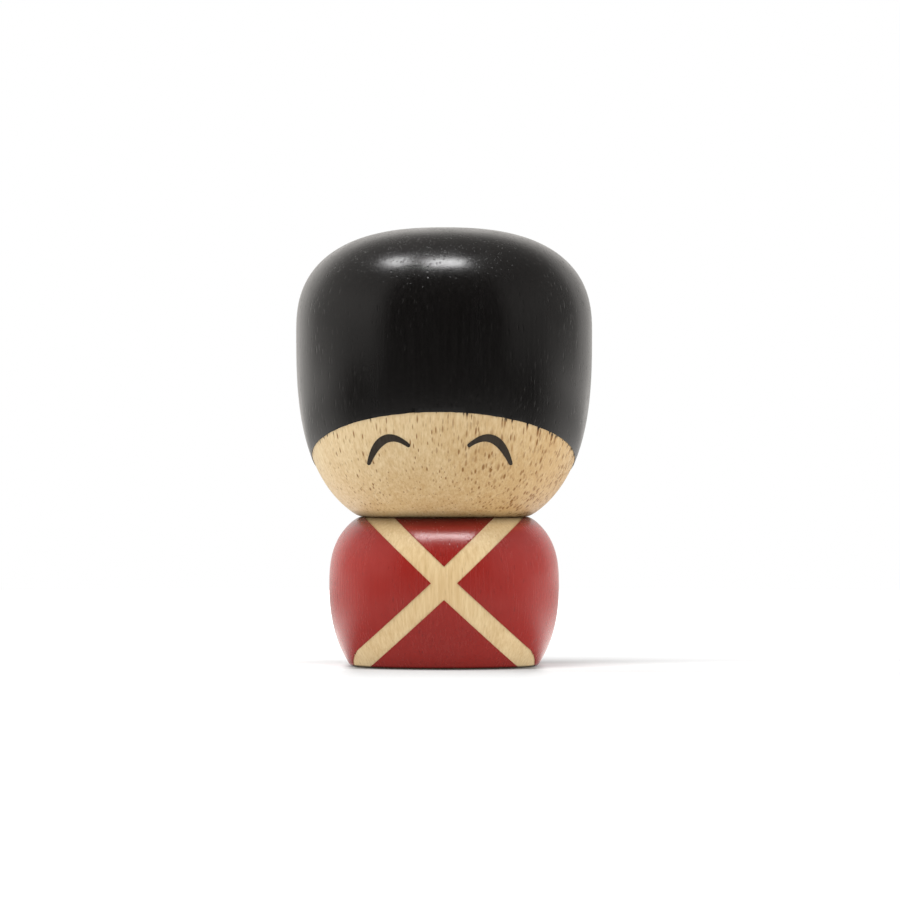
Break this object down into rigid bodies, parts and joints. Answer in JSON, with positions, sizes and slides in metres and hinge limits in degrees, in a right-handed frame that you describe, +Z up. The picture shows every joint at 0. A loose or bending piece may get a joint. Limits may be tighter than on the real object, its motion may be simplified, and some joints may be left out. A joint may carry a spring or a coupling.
{
  "type": "toy soldier figure",
  "caption": "Turned wooden toy guardsman: a large dipped head turns on a peg in a barrel body, with bare-wood crossed belts left in red lacquer. Stands on its flat foot.",
  "frame": {"origin": "centre of the flat foot, on the surface that the figure stands on", "axes": "+Z up along the turning axis, face toward -Y, the figure's own left toward +X"},
  "size_m": [0.054, 0.054, 0.08],
  "materials": {
    "turned_wood": "fine-sanded pale hardwood under a thin clear lacquer",
    "peg_wood": "plain waxed hardwood peg",
    "black_lacquer": "satin lacquer film with the grain showing through",
    "red_lacquer": "satin lacquer film with the grain showing through",
    "eye_ink": "printed ink"
  },
  "bodies": {
    "body": {"body_block": "turned_wood", "neck_peg": "peg_wood", "chest_front": "red_lacquer", "skirt_front": "red_lacquer", "chest_back": "red_lacquer", "skirt_back": "red_lacquer", "tunic_left": "red_lacquer", "tunic_right": "red_lacquer"},
    "head": {"head_block": "turned_wood", "cap_coat": "black_lacquer", "eye_left": "eye_ink", "eye_right": "eye_ink"}
  },
  "joints": [
    {"name": "head_turn", "type": "hinge", "parent": "body", "child": "head", "pos_m": [0, 0, 0.0272], "axis": [0, 0, 1], "continuous": true}
  ]
}
